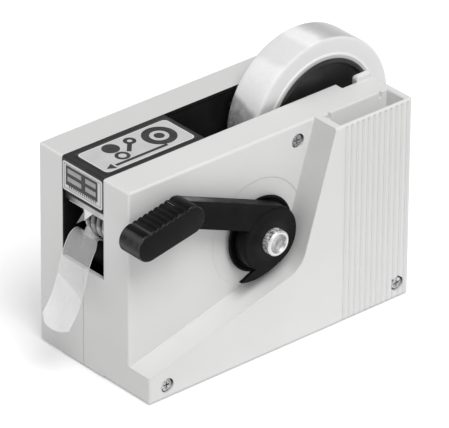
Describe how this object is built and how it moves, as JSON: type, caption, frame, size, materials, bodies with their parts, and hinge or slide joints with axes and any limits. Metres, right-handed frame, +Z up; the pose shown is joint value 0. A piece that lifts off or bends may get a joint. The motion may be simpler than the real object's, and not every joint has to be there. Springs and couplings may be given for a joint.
{
  "type": "tape dispenser",
  "caption": "Heavy bench packing tape dispenser: side lever with thumb grip feeds tape from a roll through a roller head to a fixed cutter; storage pocket beside the roll.",
  "frame": {"origin": "centre of the case's footprint, on the underside of the rubber mat it stands on", "axes": "+Z up; -X is the front, where the tape comes out; -Y is the lever side"},
  "size_m": [0.2484, 0.1034, 0.1641],
  "materials": {
    "case_grey": "light grey moulded ABS, fine matt grain",
    "chassis_black": "black painted sheet steel",
    "plain_steel": "turned and ground steel",
    "mat_rubber": "matt rubber sheet",
    "cover_dark": "charcoal moulded plastic",
    "label": null,
    "lever_black": "black glass-filled nylon, satin",
    "bronze": "sintered bronze",
    "gear_plastic": "white acetal",
    "roller_core": "turned aluminium",
    "drive_rubber": "ground black rubber",
    "band_silicone": "white non-stick silicone",
    "tape_film": "clear polypropylene film, milky in the roll",
    "card": "white card tube",
    "hub_black": "black moulded spool"
  },
  "bodies": {
    "case": {"lever_side_shell": "case_grey", "far_side_shell": "case_grey", "near_side_plate": "chassis_black", "far_side_plate": "chassis_black", "tie_rods": "plain_steel", "base_plate": "plain_steel", "base_mat": "mat_rubber", "shell_screws": "plain_steel", "plate_screws": "plain_steel", "head_cover": "cover_dark", "top_label": "label", "front_label": "label", "blade_holder": "chassis_black", "cutter_blade": "plain_steel", "lever_collar": "lever_black", "plate_bushes": "bronze", "idler_stud": "plain_steel", "ring_axle": "plain_steel", "guide_axle": "plain_steel", "roll_axle": "plain_steel", "axle_clips": "chassis_black", "return_spring": "plain_steel", "spring_stud": "plain_steel", "tape_run": "tape_film", "tape_strip": "tape_film"},
    "lever": {"lever_arm": "lever_black", "lever_grip": "lever_black", "lever_shaft": "plain_steel", "lever_washer": "plain_steel", "sector_gear": "plain_steel", "sector_key": "plain_steel"},
    "nut": {"thumb_nut": "plain_steel"},
    "idler": {"idler_gear": "gear_plastic"},
    "drive": {"drive_shaft": "plain_steel", "drive_core": "roller_core", "drive_sleeve": "drive_rubber", "pinion_gear": "gear_plastic", "one_way_clutch": "plain_steel"},
    "ring": {"ring_roller": "roller_core", "ring_bands": "band_silicone"},
    "guide": {"guide_roller": "gear_plastic"},
    "roll": {"tape_roll": "tape_film", "roll_core": "card", "roll_hub": "hub_black"}
  },
  "joints": [
    {"name": "lever_press", "type": "hinge", "parent": "case", "child": "lever", "pos_m": [-0.0035, -0.0302, 0.0733], "axis": [0, -1, 0], "range_deg": [0, 34], "stiffness_Nm_per_rad": 0.25, "springref_deg": -34.38},
    {"name": "nut_turn", "type": "hinge", "parent": "lever", "child": "nut", "pos_m": [-0.0035, -0.0482, 0.0733], "axis": [0, -1, 0], "continuous": true},
    {"name": "idler_turn", "type": "hinge", "parent": "case", "child": "idler", "pos_m": [-0.06411, -0.0002, 0.06916], "axis": [0, -1, 0], "range_deg": [-152, 1]},
    {"name": "drive_turn", "type": "hinge", "parent": "case", "child": "drive", "pos_m": [-0.084, -0.0002, 0.07295], "axis": [0, -1, 0], "range_deg": [-1, 189]},
    {"name": "ring_turn", "type": "hinge", "parent": "case", "child": "ring", "pos_m": [-0.084, -0.0002, 0.09695], "axis": [0, -1, 0], "range_deg": [-135, 1]},
    {"name": "guide_turn", "type": "hinge", "parent": "case", "child": "guide", "pos_m": [-0.054, -0.0002, 0.0726], "axis": [0, -1, 0], "range_deg": [-1, 302]},
    {"name": "roll_turn", "type": "hinge", "parent": "case", "child": "roll", "pos_m": [0.0704, -0.0002, 0.1108], "axis": [0, -1, 0], "range_deg": [-36, 1]}
  ],
  "couplings": [
    {"joint": "idler_turn", "follows": "lever_press", "ratio": -4.4},
    {"joint": "drive_turn", "follows": "lever_press", "ratio": 5.5},
    {"joint": "ring_turn", "follows": "lever_press", "ratio": -3.9111},
    {"joint": "guide_turn", "follows": "lever_press", "ratio": 8.8},
    {"joint": "roll_turn", "follows": "lever_press", "ratio": -0.99062}
  ]
}
